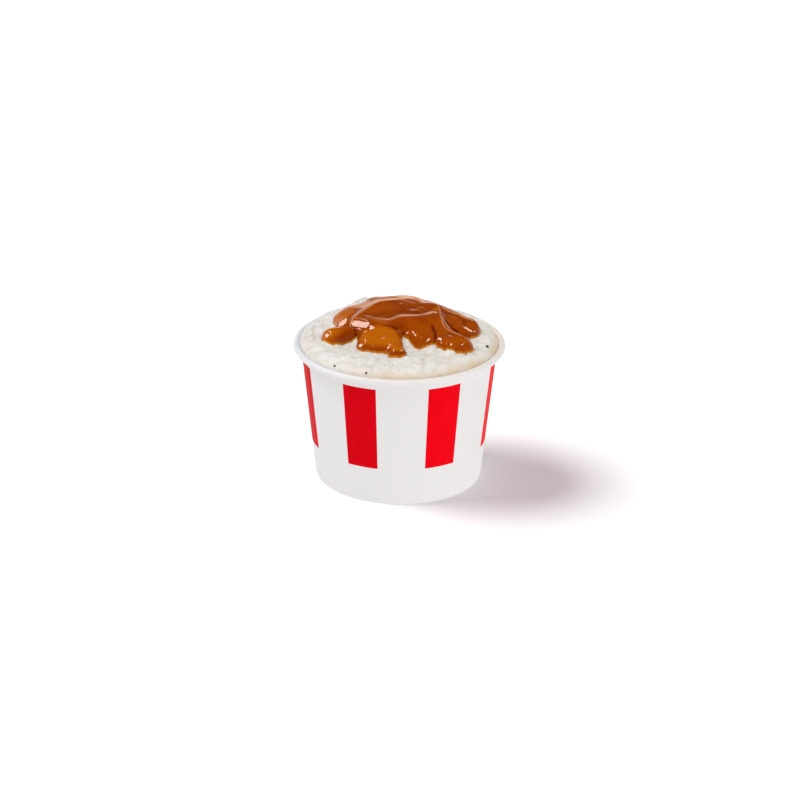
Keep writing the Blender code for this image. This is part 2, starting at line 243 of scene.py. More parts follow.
# Places where the gravy is paler, partly thinner and partly painted light: x, y, how light, radius.
GRAVY_PALE_AND_LIT_PLACES = (
    (-0.0262, 0.0045, 1.0, 0.0075),
    (0.0074, 0.0138, 1.2, 0.0030),
    (0.0170, 0.0020, 0.7, 0.0026),
    (-0.0325, -0.0125, 1.0, 0.0044),
    (-0.0090, -0.0160, 0.5, 0.0050),
)

# Where the mash shows between two lobes of gravy: from x, y, half width to x, y, half width.
GRAVY_GAPS = (
    (0.0019, -0.0164, 0.0005, 0.0056, -0.0300, 0.0024),
)

# Folds of the gravy: points along the crest; height; width to the left of the crest and to its
# right, as seen from one point to the next; radius of the crest; strength of its painted highlight.
GRAVY_FOLDS = (
    (((-0.0227, -0.0112), (-0.0225, -0.0070), (-0.0200, -0.0044), (-0.0161, -0.0006),
      (-0.0109, 0.0053), (-0.0077, 0.0068), (-0.0028, 0.0078), (0.0040, 0.0090)),
     0.0012, 0.0020, 0.0036, 0.0008, 1.0),
    (((-0.0181, -0.0068), (-0.0150, -0.0088), (-0.0121, -0.0105), (-0.0089, -0.0117),
      (-0.0053, -0.0127), (-0.0021, -0.0114), (0.0006, -0.0096), (0.0061, -0.0088),
      (0.0107, -0.0067), (0.0156, -0.0035)),
     0.0013, 0.0024, 0.0055, 0.0006, 0.5),
    (((0.0008, 0.0030), (0.0022, 0.0006), (0.0042, -0.0024), (0.0080, -0.0022),
      (0.0104, 0.0012)),
     0.0005, 0.0016, 0.0020, 0.0005, 0.45),
    (((0.0150, 0.0070), (0.0177, 0.0058), (0.0186, 0.0022), (0.0187, -0.0040),
      (0.0197, -0.0100), (0.0212, -0.0130), (0.0244, -0.0150), (0.0292, -0.0190)),
     0.0013, 0.0024, 0.0045, 0.0006, 0.7),
    (((0.0200, 0.0080), (0.0248, 0.0065), (0.0300, 0.0045), (0.0350, 0.0015)),
     0.0018, 0.0050, 0.0050, 0.0010, 0.9),
    (((-0.0100, -0.0230), (-0.0076, -0.0229), (-0.0046, -0.0221)),
     0.0003, 0.0010, 0.0014, 0.0004, 0.8),
    (((0.0276, 0.0005), (0.0284, -0.0050), (0.0290, -0.0088)),
     0.0003, 0.0008, 0.0014, 0.0004, 0.35),
)
GRAVY_FOLD_POWER = 1.3      # a higher power gives a fold's foot a shorter run
GRAVY_FOLD_CUTS = 2         # how often the corners of a crest line are cut
CORNER_CUT = 0.25           # share of each straight stretch that a corner's cut takes
FAR_AWAY = 1.0              # farther than anything on the object
# Width and taper of the highlight painted along each crest.
GRAVY_CREST_HIGHLIGHT_WIDTH = 0.0007  # of the light along a crest
GRAVY_CREST_HIGHLIGHT_TAPER = 0.0030  # over which that light fades in at either end

# Painted highlights in soft streaks: from x, y to x, y, half width, how light.
GRAVY_HIGHLIGHT_STREAKS = (
    (-0.0248, 0.0012, -0.0218, 0.0036, 0.0010, 0.45),
    (0.0010, 0.0075, 0.0070, 0.0060, 0.0018, 0.55),
    (0.0200, 0.0056, 0.0278, 0.0045, 0.0011, 0.9),
    (0.0278, 0.0045, 0.0336, 0.0002, 0.0010, 0.9),
)

# --- Colours and finishes ---------------------------------------------------------

# Where a colour is mottled, its two colours, darker and lighter.
WHITES = ((0.805, 0.82, 0.83), (0.825, 0.84, 0.85))
LEFT_REDS = ((0.66, 0.0004, 0.006), (0.71, 0.0006, 0.008))
RIGHT_REDS = ((0.86, 0.0004, 0.007), (0.92, 0.0006, 0.009))
CREAMS = ((0.755, 0.74, 0.65), (0.825, 0.815, 0.775))
PEPPER_BLACKS = ((0.010, 0.007, 0.005), (0.045, 0.03, 0.02))
GRAVY_BROWNS = ((0.270, 0.036, 0.0002), (0.385, 0.070, 0.0003))

# The noise that mottles each: scale, detail, and its values for all dark and for all light.
PAPER_MOTTLE = (900.0, 3.0, 0.3, 0.7)
PRINT_MOTTLE = (160.0, 2.0, 0.3, 0.7)
MASH_MOTTLE = (320.0, 3.0, 0.35, 0.65)
PEPPER_MOTTLE = (2500.0, 2.0, 0.35, 0.65)
GRAVY_MOTTLE = (90.0, 6.0, 0.33, 0.67)

# Other colours, each with the values between which it comes in.
# Painted warm light on the front and right of the rim.
RIM_WARM_LIGHT_COLOUR = (0.84, 0.80, 0.735)
# Painted shade in the mash's creases.
CREASE_SHADE_COLOUR = (0.76, 0.715, 0.62)
CREASE_SHADE_DEPTHS = (0.0004, 0.0018)
# Patchy brown along the mash's rim to the front right: partly the mash's own colour, partly painted
# shade where it meets the paper.
MASH_RIM_BROWN_AND_SHADE = (0.75, 0.62, 0.465)
MASH_RIM_BROWN_AND_SHADE_SHARES = (0.12, 0.62)
MASH_RIM_BROWN_AND_SHADE_FROM = 0.87               # share of the radius at which that tint starts
MASH_RIM_BROWN_AND_SHADE_TURN = (-0.020, 0.050)    # x - y from which to which it grows
MASH_RIM_BROWN_AND_SHADE_PATCHES = (110.0, 3.0)    # scale and detail of the noise that breaks it up
THIN_COLOUR = (0.60, 0.22, 0.008)
THIN_GRAVY = (0.0003, 0.0011)       # it turns into the other colours between these thicknesses
# Paler gravy: partly thinner gravy, partly painted light on lobes that face the light.
PALE_AND_LIT_COLOUR = (0.51, 0.125, 0.0010)
PALE_AND_LIT_SHARES = (0.0, 1.0)
# Painted shade in the gravy's hollows.
HOLLOW_SHADE_COLOUR = (0.17, 0.016, 0.0002)
HOLLOW_SHADE_DEPTHS = (0.00002, 0.00016)
# Painted highlights along the crests and streaks.
CREST_HIGHLIGHT_COLOUR = (0.60, 0.25, 0.10)
CREST_HIGHLIGHT_SHARES = (0.25, 0.9)

# Fine bumps: scale and detail of their noise, height, strength.
PAPER_BUMPS = (260.0, 3.0, 0.00006, 0.25)
MASH_BUMPS = (1100.0, 4.0, 0.00035, 0.7)
PEPPER_BUMPS = (4000.0, 2.0, 0.0001, 0.5)

PAPER_FINISH = {"Roughness": 0.42, "Specular IOR Level": PAPER_GLOSS}
MASH_FINISH = {
    "Roughness": 0.55,
    "Specular IOR Level": 0.3,
    "Subsurface Weight": 0.3,
    "Subsurface Scale": 0.002,
    "Subsurface Radius": (1.0, 0.75, 0.5),
}
PEPPER_FINISH = {"Roughness": 0.6}
GRAVY_FINISH = {
    "Roughness": 0.08,
    "IOR": 1.26,
    "Specular Tint": (1.0, 0.85, 0.75, 1.0),
    "Subsurface Weight": 0.25,
    "Subsurface Scale": 0.002,
    "Subsurface Radius": (1.0, 0.35, 0.08),
}
FLOOR_FINISH = {
    "Base Color": (1.0, 0.98, 0.98, 1.0),
    "Roughness": 0.9,
    "Specular IOR Level": 0.0,
}

# --- The room, the lights and the camera ------------------------------------------

ROOM_COLOUR = (1.0, 0.95, 0.93)
ROOM_BRIGHT_BELOW = 0.10    # as the sine of the angle above the horizon
ROOM_DIM_ABOVE = 0.38
ROOM_DIMNESS = 0.10         # brightness overhead as a share of the horizon's
FLOOR_HALF = 6.0            # from the middle of the floor to each side

# Distant lights: name; azimuth and elevation in degrees; strength; width of the disc in degrees;
# colour; what it falls on; and whether it shows only as a glint.
LIGHTS = (
    ("key", -105, 50, 0.56, 18, (0.90, 0.82, 1.14), "part", False),
    ("glint", -105, 50, 2.6, 18, (1.0, 0.95, 0.92), "part", True),
    ("right_glint", 100, 55, 0.62, 9, (1.0, 0.93, 0.85), "part", True),
    ("back_glint", 180, 12, 0.22, 24, (1.0, 0.68, 0.42), "gravy", True),
    ("overhead", -60, 72, 1.62, 60, (1.0, 1.0, 0.98), "part", False),
    ("front_fill", 20, 30, 0.64, 120, (0.97, 0.96, 0.95), "part", False),
    ("side_fill", 75, 20, 0.50, 60, (1.0, 0.97, 0.90), "part", False),
    ("floor_key", -102, 46, 3.42, 42, (0.93, 1.02, 1.0), "floor", False),
    ("floor_fill", 0, 90, 1.12, 150, (1.02, 0.91, 0.99), "floor", False),
)

CAMERA_SENSOR = 36.0        # millimetres
CAMERA_LENS = 109.9         # millimetres
CAMERA_ELEVATION = 23.09    # degrees
CAMERA_LEAN = 0.47          # degrees
CAMERA_DISTANCE = 1.1399    # from its target
CAMERA_TARGET = (0.00055, 0.0, 0.03547)
CAMERA_REACH = 20.0         # farthest that it sees


# --- Fields over the plan ---------------------------------------------------------

NOISE_ROUGHNESS = 1.0       # the higher, the less the finer noises add
NOISE_STEP = 2.0            # each noise is this much finer than the one before


def smooth_step(value, low, high):
    """From 0 at low to 1 at high, level at both ends."""
    share = np.clip((value - low) / (high - low), 0.0, 1.0)
    return share * share * (3.0 - 2.0 * share)


def bell(distance, radius):
    """1 in the middle, and hardly anything two radii away."""
    return np.exp(-((distance / radius) ** 2))


def layered_noise(x, y, level, size, octaves):
    """Smooth noise between about -1 and 1, sampled at every point of one level."""
    levels = np.broadcast_to(level, x.shape)
    points = np.stack([part.ravel() / size for part in (x, y, levels)], 1)
    values = [noise.fractal(Vector(point), NOISE_ROUGHNESS, NOISE_STEP, octaves)
              for point in points]
    return np.array(values).reshape(x.shape)


def segment_offset(x, y, start, end):
    """Distance to a straight stretch, the share of its length there, and the side of each point."""
    along_x, along_y = end[0] - start[0], end[1] - start[1]
    share = ((x - start[0]) * along_x + (y - start[1]) * along_y) / (along_x ** 2 + along_y ** 2)
    share = np.clip(share, 0.0, 1.0)
    off_x = x - start[0] - share * along_x
    off_y = y - start[1] - share * along_y
    side = np.sign(along_x * off_y - along_y * off_x)
    return np.hypot(off_x, off_y), share, side


def depth_inside(x, y, stretch):
    """How far each place lies inside a stretch whose half width goes from one size to another."""
    start_x, start_y, start_width, end_x, end_y, end_width = stretch
    distance, share, side = segment_offset(x, y, (start_x, start_y), (end_x, end_y))
    return start_width + share * (end_width - start_width) - distance


def soft_maximum(values, blend):
    """The highest of several fields, with its seams rounded over about the blend."""
    highest = np.max(values, axis=0)
    return highest + blend * np.log(np.sum(np.exp((np.array(values) - highest) / blend), axis=0))


# --- The tub's outline ------------------------------------------------------------


def wall_radius(level):
    """Radius of the middle of the wall's paper on its straight stretch."""
    slope = (SHOULDER_RADIUS - FOOT_RADIUS) / SHOULDER_LEVEL
    return FOOT_RADIUS - PAPER / 2 + slope * level


def curl_centre():
    """Radius and level of the middle of the rolled rim."""
    return RIM_RADIUS - CURL_HEIGHT / 2, TUB_HEIGHT - CURL_HEIGHT / 2


def curl_line():
    """The rolled rim: the paper goes up, over, outwards and back under itself."""
    centre_radius, centre_level = curl_centre()
    roll = (CURL_HEIGHT - PAPER) / 2
    points = []
    for step in range(CURL_STEPS + 1):
        angle = math.pi - math.radians(CURL_TURN) * step / CURL_STEPS
        points.append((centre_radius + roll * math.cos(angle),
                       centre_level + roll * math.sin(angle)))
    return points


def wall_line():
    """Middle of the wall's paper: up the outside from the hem, then into the curl."""
    under = PAPER / 2
    hem_inset = 2 * (PAPER + GAP)
    hem = [(wall_radius(level) - hem_inset, level) for level in (HEM_TOP, 2 * PAPER)]
    fold = [
        (wall_radius(0.0) - hem_inset + under, under),
        (wall_radius(0.0) - under, under),
    ]
    levels = np.linspace(2 * PAPER, SHOULDER_LEVEL, WALL_LEVELS)
    outside = [(wall_radius(level), level) for level in levels]
    return hem + fold + outside + curl_line()


def base_line():
    """Middle of the base's paper: the raised disc and its turned-down skirt."""
    skirt_inset = PAPER + GAP
    corner = 2 * PAPER
    rim = wall_radius(BASE_LEVEL) - skirt_inset
    return [
        (0.0, BASE_LEVEL),
        (rim / 2, BASE_LEVEL),
        (rim - corner, BASE_LEVEL),
        (wall_radius(BASE_LEVEL - corner) - skirt_inset, BASE_LEVEL - corner),
        (wall_radius(SKIRT_FOOT) - skirt_inset, SKIRT_FOOT),
    ]


def inner_radius(level):
    """Inside of the tub's wall."""
    if level <= SHOULDER_LEVEL:
        return wall_radius(level) - PAPER / 2
    centre_radius, centre_level = curl_centre()
    neck_radius = centre_radius - (CURL_HEIGHT - PAPER) / 2
    share = (level - SHOULDER_LEVEL) / (centre_level - SHOULDER_LEVEL)
    flare = neck_radius - wall_radius(SHOULDER_LEVEL)
    return wall_radius(SHOULDER_LEVEL) + share * flare - PAPER / 2


# --- The food's surfaces ----------------------------------------------------------


def mash_base(x, y):
    """The mash without its relief: shoulder, heap and lumps."""
    spread = np.minimum(np.hypot(x, y) / inner_radius(MASH_EDGE_LEVEL), 1.0)
    inside = 1.0 - spread ** MASH_ROUNDING
    level = MASH_EDGE_LEVEL + MASH_RISE * inside ** MASH_SHOULDER
    from_heap = np.hypot(x - HEAP_CENTRE[0], y - HEAP_CENTRE[1]) / HEAP_RADIUS
    level += HEAP_HEIGHT * np.maximum(0.0, 1.0 - from_heap ** HEAP_FLATNESS) ** HEAP_SLOPE
    for lump_x, lump_y, height, radius in MASH_LUMPS:
        level += height * bell(np.hypot(x - lump_x, y - lump_y), radius) * inside
    return level


def mash_relief(x, y):
    """Height of the finer lumps less the grooves, calmer at the rim; and the grooves' depth."""
    spread = np.hypot(x, y) / inner_radius(MASH_EDGE_LEVEL)
    fade = 1.0 - MASH_CALM * smooth_step(spread, MASH_CALM_FROM, 1.0)
    relief = np.zeros_like(x)
    for size, height in MASH_RELIEF:
        relief += height * layered_noise(x, y, RELIEF_SLICE, size, MASH_OCTAVES)
    groove = np.zeros_like(x)
    for spacing, depth, sharpness in MASH_GROOVES:
        away = np.abs(layered_noise(x, y, GROOVE_SLICE, spacing, MASH_OCTAVES))
        groove += depth * np.clip(1.0 - away, 0.0, 1.0) ** sharpness
    for start_x, start_y, end_x, end_y, depth, width in MASH_CREASES:
        distance, share, side = segment_offset(x, y, (start_x, start_y), (end_x, end_y))
        groove += depth * bell(distance, width)
    return (relief - groove + MASH_LIFT) * fade, groove


def layer_depth(x, y, pours):
    """How far each place lies inside one layer's edge."""
    depth = soft_maximum([depth_inside(x, y, pour) for pour in pours], GRAVY_BLEND)
    for gap in GRAVY_GAPS:
        depth = np.minimum(depth, -depth_inside(x, y, gap))
    return depth


def roundness(depth, rounding):
    """Height of a layer's edge as a share of its full thickness: a quarter circle."""
    short = 1.0 - np.clip(depth / rounding, 0.0, 1.0)
    return np.sqrt(1.0 - short ** 2)


def cut_flats(x, y, top):
    """The surface with each flat cut into it; a flat's level rises outside its radius."""
    for start_x, start_y, end_x, end_y, cut, slope_x, slope_y, radius in GRAVY_FLATS:
        off_x, off_y = x - (start_x + end_x) / 2, y - (start_y + end_y) / 2
        middle = top.flat[np.argmin(np.hypot(off_x, off_y))]
        level = middle - cut + slope_x * off_x + slope_y * off_y
        away = segment_offset(x, y, (start_x, start_y), (end_x, end_y))[0]
        level += GRAVY_FLAT_RISE * np.maximum(0.0, away - radius)
        top = -soft_maximum([-top, -level], GRAVY_SEAM / 2)
    return top


def hollowness(top, spread):
    """How hollow the surface is round each place: above zero in creases, below zero on crests."""
    nearby = top.copy()
    for axis in (0, 1):
        shifted = [np.roll(nearby, step, axis) for step in range(-spread, spread + 1)]
        nearby = sum(shifted) / len(shifted)
    return nearby - top


def smooth_line(points):
    """The same open line with its corners cut off."""
    line = np.array(points)
    rest = 1.0 - CORNER_CUT
    for turn in range(GRAVY_FOLD_CUTS):
        starts, ends = line[:-1], line[1:]
        cuts = np.stack([starts * rest + ends * CORNER_CUT, starts * CORNER_CUT + ends * rest], 1)
        line = np.concatenate([line[:1], cuts.reshape(-1, 2), line[-1:]])
    return line


def beside_line(x, y, line):
    """Distance to a line of straight stretches, and the side of it on which each place lies."""
    nearest = np.full(x.shape, FAR_AWAY)
    side = np.zeros_like(x)
    for start, end in zip(line, line[1:]):
        distance, share, which = segment_offset(x, y, start, end)
        closer = distance < nearest
        nearest = np.where(closer, distance, nearest)
        side = np.where(closer, which, side)
    return nearest, side


def fold_height(x, y):
    """Height that the folds add, and the highlight painted along their crests and streaks."""
    level = np.zeros_like(x)
    crests = np.zeros_like(x)
    for crest, height, left_width, right_width, radius, light in GRAVY_FOLDS:
        line = smooth_line(crest)
        nearest, side = beside_line(x, y, line)
        width = np.where(side > 0.0, left_width, right_width)
        away = (np.sqrt(nearest ** 2 + radius ** 2) - radius) / width
        level += height * np.exp(-away ** GRAVY_FOLD_POWER)
        ends = np.minimum(*[np.hypot(x - end[0], y - end[1]) for end in (line[0], line[-1])])
        taper = smooth_step(ends, 0.0, GRAVY_CREST_HIGHLIGHT_TAPER)
        # painted highlight along the crest, fading in at its ends
        crests = np.maximum(crests, light * taper * bell(nearest, GRAVY_CREST_HIGHLIGHT_WIDTH))
    for start_x, start_y, end_x, end_y, width, light in GRAVY_HIGHLIGHT_STREAKS:
        distance, share, side = segment_offset(x, y, (start_x, start_y), (end_x, end_y))
        crests = np.maximum(crests, light * bell(distance, width))
    return level, crests


def gravy_lightness(x, y, depths):
    """How light the gravy looks, by layer and at the pale places: partly thinner, partly painted
    light.
    """
    lightness = np.zeros_like(x)
    for (thickness, rounding, light, pours), depth in zip(GRAVY_LAYERS, depths):
        lightness = np.maximum(lightness, light * smooth_step(depth, 0.0, GRAVY_PALE_AND_LIT_FULL))
    for place_x, place_y, light, radius in GRAVY_PALE_AND_LIT_PLACES:
        lightness += light * bell(np.hypot(x - place_x, y - place_y), radius)
    return lightness


# --- Meshes -----------------------------------------------------------------------


def new_object(name, data):
    """Put a mesh, a light or a camera in the scene."""
    made = bpy.data.objects.new(name, data)
    bpy.context.scene.collection.objects.link(made)
    return made


def ring_faces(rows, columns):
    """Quads between rings of points, ring by ring."""
    row, column = np.meshgrid(np.arange(rows - 1), np.arange(columns), indexing="ij")
    right = (column + 1) % columns
    corners = (row * columns + column, row * columns + right, (row + 1) * columns + right,
               (row + 1) * columns + column)
    return np.stack([corner.ravel() for corner in corners], 1)


def add_attribute(mesh, name, values):
    """Give a mesh one number for each point, for its material to read."""
    layer = mesh.attributes.new(name, "FLOAT", "POINT")
    layer.data.foreach_set("value", values.astype(np.float32).ravel())


def turned_piece(name, line):
    """A line of (radius, height) points spun about Z and given the paper's thickness."""
    mesh = bpy.data.meshes.new(name)
    edges = [(index, index + 1) for index in range(len(line) - 1)]
    mesh.from_pydata([(radius, 0.0, level) for radius, level in line], edges, [])
    piece = new_object(name, mesh)
    screw = piece.modifiers.new("turn", "SCREW")
    screw.axis = "Z"
    screw.angle = math.tau
    screw.steps = TUB_STEPS
    screw.render_steps = TUB_STEPS
    screw.use_merge_vertices = True
    screw.merge_threshold = MERGE_WITHIN
    solid = piece.modifiers.new("paper", "SOLIDIFY")
    solid.thickness = PAPER
    solid.offset = 0.0
    solid.use_even_offset = True
    solid.use_rim = True
    graph = bpy.context.evaluated_depsgraph_get()
    piece.data = bpy.data.meshes.new_from_object(piece.evaluated_get(graph))
    piece.modifiers.clear()
    piece.data.shade_smooth()
    piece.data.set_sharp_from_angle(angle=math.radians(SHARP_ANGLE))
    return piece


def closed_rings(name, points, columns, top_level, low_level):
    """A mesh of rings of points, closed by a fan to the axis above the first and below the last."""
    count = len(points)
    last = count - columns
    points = np.concatenate([points, [[0.0, 0.0, top_level], [0.0, 0.0, low_level]]])
    quads = ring_faces(count // columns, columns)[:, ::-1]
    along = np.arange(columns)
    beside = (along + 1) % columns
    top_fan = np.stack([np.full(columns, count), along, beside], 1)
    low_fan = np.stack([np.full(columns, count + 1), last + beside, last + along], 1)
    mesh = bpy.data.meshes.new(name)
    mesh.from_pydata(points.tolist(), [], quads.tolist() + top_fan.tolist() + low_fan.tolist())
    return mesh


def mash_piece():
    """The whole mash as one closed body: relief on top, plain where the tub hides it."""
    edge = inner_radius(MASH_EDGE_LEVEL) + MASH_TOP_OVERLAP
    share = np.linspace(0.0, 1.0, MASH_RINGS + 1)[1:] ** MASH_RING_SPACING
    angles = np.linspace(0.0, math.tau, MASH_STEPS, endpoint=False)
    radius, angle = np.meshgrid(edge * share, angles, indexing="ij")
    x, y = radius * np.sin(angle), -radius * np.cos(angle)
    relief, groove = mash_relief(x, y)
    rings = [(x, y, mash_base(x, y) + relief)]
    floor_level = BASE_LEVEL + PAPER
    for level in (SHOULDER_LEVEL, MASH_MIDDLE_LEVEL, floor_level):
        side = inner_radius(level) + MASH_SIDE_OVERLAP
        level_ring = np.full((1, MASH_STEPS), level)
        rings.append(((side * np.sin(angles))[None], (-side * np.cos(angles))[None], level_ring))
    points = np.stack([np.concatenate(part).ravel() for part in zip(*rings)], 1)
    top_level = float(mash_base(np.zeros(1), np.zeros(1))[0])
    mesh = closed_rings("mash_heap", points, MASH_STEPS, top_level, floor_level)
    plain = np.zeros(len(mesh.vertices) - relief.size)
    # Groove depth less the relief: where the material paints shade in the creases.
    add_attribute(mesh, "crease_shade", np.concatenate([(groove - relief).ravel(), plain]))
    # Along the rim to the front right: the mash's own brown and painted shade.
    tint = smooth_step(np.hypot(x, y) / edge, MASH_RIM_BROWN_AND_SHADE_FROM, 1.0)
    tint = tint * smooth_step(x - y, *MASH_RIM_BROWN_AND_SHADE_TURN)
    add_attribute(mesh, "edge", np.concatenate([tint.ravel(), plain]))
    mesh.shade_smooth()
    return new_object("mash_heap", mesh)


def gravy_waves(x, y, near):
    """Height of the folds, swells and small waves, and the highlights painted on the crests."""
    waves, crests = fold_height(x, y)
    for swell_x, swell_y, height, radius in GRAVY_SWELLS:
        waves += height * bell(np.hypot(x - swell_x, y - swell_y), radius)
    for size, height in GRAVY_WAVES:
        noises = layered_noise(x[near], y[near], WAVE_SLICE, size, WAVE_OCTAVES)
        waves[near] += height * noises
    return waves, crests


def mash_under_gravy(x, y, depth, near):
    """The mash that the gravy lies on, with its relief only along the gravy's edge."""
    base = mash_base(x, y)
    at_edge = near & (depth < GRAVY_DRAPE[1])
    fade = 1.0 - smooth_step(depth[at_edge], *GRAVY_DRAPE)
    base[at_edge] += fade * mash_relief(x[at_edge], y[at_edge])[0]
    return base


def gravy_surface(x, y):
    """Depth inside the gravy's edge, level of its top and underside, and its colour fields."""
    depths = [layer_depth(x, y, pours) for thickness, rounding, light, pours in GRAVY_LAYERS]
    depth = np.max(depths, axis=0)
    near = depth > -GRAVY_NEAR
    size, reach = GRAVY_WOBBLE
    wobble = np.zeros_like(x)
    wobble[near] = layered_noise(x[near], y[near], WOBBLE_SLICE, size, WOBBLE_OCTAVES) * reach
    waves, crests = gravy_waves(x, y, near)
    depth = depth + wobble
    base = mash_under_gravy(x, y, depth, near)
    heights = []
    for (thickness, rounding, light, pours), part in zip(GRAVY_LAYERS, depths):
        heights.append((thickness + waves) * roundness(part + wobble, rounding))
    thickness = soft_maximum(heights, GRAVY_SEAM)
    dip = GRAVY_SKIRT_FALL * np.clip(depth, -GRAVY_SKIRT_DEEPEST, 0.0)
    top = base + GRAVY_LIFT + thickness + dip
    # How hollow the top is, where the material paints shade.
    hollow = sum(weight * hollowness(top, spread) for spread, weight in HOLLOW_SPREADS)
    lightness = gravy_lightness(x, y, depths)
    # Colour fields: thickness, paleness partly painted light, hollowness for painted shade, painted
    # highlights.
    fields = {"thickness": thickness, "lightness": lightness, "hollow": hollow, "crest": crests}
    return depth, cut_flats(x, y, top), base - GRAVY_ROOT, fields


def closed_sheet(name, x, y, top, low, keep):
    """A mesh of the kept grid points: the top, the underside and a wall round their edge."""
    index = -np.ones(x.shape, int)
    index[keep] = np.arange(keep.sum())
    cells = keep[:-1, :-1] & keep[1:, :-1] & keep[:-1, 1:] & keep[1:, 1:]
    corners = (index[:-1, :-1], index[:-1, 1:], index[1:, 1:], index[1:, :-1])
    upper = np.stack([corner[cells] for corner in corners], 1)
    total = int(keep.sum())
    lower = upper[:, ::-1] + total
    edges = np.concatenate([upper[:, [side, (side + 1) % 4]] for side in range(4)])
    keys = {tuple(edge) for edge in edges.tolist()}
    rim = [edge for edge in keys if (edge[1], edge[0]) not in keys]
    wall = [(end, start, start + total, end + total) for start, end in rim]
    points = np.concatenate([np.stack([x[keep], y[keep], level[keep]], 1) for level in (top, low)])
    mesh = bpy.data.meshes.new(name)
    mesh.from_pydata(points.tolist(), [], upper.tolist() + lower.tolist() + wall)
    return mesh


def tidy_mesh(mesh):
    """Delete points that no face uses, and turn every face outwards."""
    made = bmesh.new()
    made.from_mesh(mesh)
    loose = [vertex for vertex in made.verts if not vertex.link_faces]
    bmesh.ops.delete(made, geom=loose, context="VERTS")
    bmesh.ops.recalc_face_normals(made, faces=made.faces)
    made.to_mesh(mesh)
    made.free()


def gravy_piece():
    """The gravy as a closed sheet: rounded on top, its underside just inside the mash."""
    line = np.linspace(-GRAVY_REACH, GRAVY_REACH, int(2 * GRAVY_REACH / GRAVY_CELL))
    y, x = np.meshgrid(line, line, indexing="ij")
    depth, top, low, fields = gravy_surface(x, y)
    keep = depth > -GRAVY_SKIRT
    mesh = closed_sheet("gravy_pour", x, y, top, low, keep)
    for name, values in fields.items():
        add_attribute(mesh, name, np.concatenate([values[keep], values[keep]]))
    tidy_mesh(mesh)
    mesh.shade_smooth()
    return new_object("gravy_pour", mesh)


def pepper_piece():
    """Every flake in one mesh: crumpled chips, each half sunk in the mash."""
    chance = np.random.default_rng(PEPPER_SEED)
    flakes = bmesh.new()
    for x, y, length in PEPPER_FLAKES:
        place = np.array([x]), np.array([y])
        level = float(mash_base(*place)[0] + mash_relief(*place)[0][0])
        made = bmesh.ops.create_icosphere(
            flakes, subdivisions=PEPPER_FINENESS, radius=length / 2)
        tilt = Matrix.Rotation(chance.uniform(-PEPPER_TILT, PEPPER_TILT), 3, "X")
        lean = tilt @ Matrix.Rotation(chance.uniform(0.0, PEPPER_TURN), 3, "Z")
        width = chance.uniform(*PEPPER_WIDTHS)
        height = chance.uniform(*PEPPER_HEIGHTS)
        middle = Vector((x, y, level + length * PEPPER_LIFT))
        sample_at = Vector((x, y, 0.0)) * PEPPER_NOISE_STEP
        for vertex in made["verts"]:
            bumps = noise.noise(vertex.co / length * PEPPER_CRUMPLE_RATE + sample_at)
            chip = Vector((vertex.co.x, vertex.co.y * width, vertex.co.z * height))
            vertex.co = lean @ chip * (1.0 + PEPPER_CRUMPLE * bumps) + middle
    mesh = bpy.data.meshes.new("pepper_flakes")
    flakes.to_mesh(mesh)
    flakes.free()
    return new_object("pepper_flakes", mesh)


# --- Materials --------------------------------------------------------------------


class Material:
    """A Principled material and short ways to add nodes to it."""

    def __init__(self, name):
        self.material = bpy.data.materials.new(name)
        self.material.use_nodes = True
        self.tree = self.material.node_tree
        self.shader = self.tree.nodes["Principled BSDF"]

    def node(self, kind, **settings):
        """A new node with its settings."""
        made = self.tree.nodes.new(kind)
        for key, value in settings.items():
            setattr(made, key, value)
        return made

    def link(self, output, target):
        self.tree.links.new(output, target)

    def field(self, name):
        """The numbers that add_attribute gave the mesh under this name."""
        return self.node("ShaderNodeAttribute", attribute_name=name).outputs["Fac"]

    def math(self, operation, first, second=None):
        """An operation on one or two values, each a number or a node's output."""
        made = self.node("ShaderNodeMath", operation=operation)
        for socket, value in zip(made.inputs, (first, second)):
            if value is None:
                continue
            if isinstance(value, (int, float)):
                socket.default_value = value
            else:
                self.link(value, socket)
        return made.outputs[0]

    def mix(self, share, first, second):
        """Colour between two, each a colour or a node's output."""
        made = self.node("ShaderNodeMix", data_type="RGBA")
        self.link(share, made.inputs["Factor"])
        for socket, colour in ((made.inputs[6], first), (made.inputs[7], second)):
            if isinstance(colour, tuple):
                socket.default_value = (*colour, 1.0)
            else:
                self.link(colour, socket)
        return made.outputs[2]

    def ramp(self, value, low, high, low_colour, high_colour):
        """Colour that goes smoothly from one to the other as value goes from low to high."""
        share = self.node("ShaderNodeMapRange", interpolation_type="SMOOTHSTEP")
        self.link(value, share.inputs["Value"])
        share.inputs["From Min"].default_value = low
        share.inputs["From Max"].default_value = high
        return self.mix(share.outputs["Result"], low_colour, high_colour)

    def noise(self, scale, detail):
        """Noise between 0 and 1 that stays with the object."""
        made = self.node("ShaderNodeTexNoise")
        made.inputs["Scale"].default_value = scale
        made.inputs["Detail"].default_value = detail
        where = self.node("ShaderNodeTexCoord")
        self.link(where.outputs["Object"], made.inputs["Vector"])
        return made.outputs["Fac"]

    def mottle(self, pattern, colours):
        """Colour that wanders between two, by one of the mottle patterns."""
        scale, detail, low, high = pattern
        return self.ramp(self.noise(scale, detail), low, high, *colours)

    def bump(self, scale, detail, height, strength):
        """Fine bumps all over the surface."""
        made = self.node("ShaderNodeBump")
        made.inputs["Strength"].default_value = strength
        made.inputs["Distance"].default_value = height
        self.link(self.noise(scale, detail), made.inputs["Height"])
        self.link(made.outputs["Normal"], self.shader.inputs["Normal"])

    def paint(self, colour):
        """Give the surface a colour that comes from a node."""
        self.link(colour, self.shader.inputs["Base Color"])

    def finish(self, settings):
        """Set the shader's own sockets, which are the same all over the surface."""
        for key, value in settings.items():
            self.shader.inputs[key].default_value = value


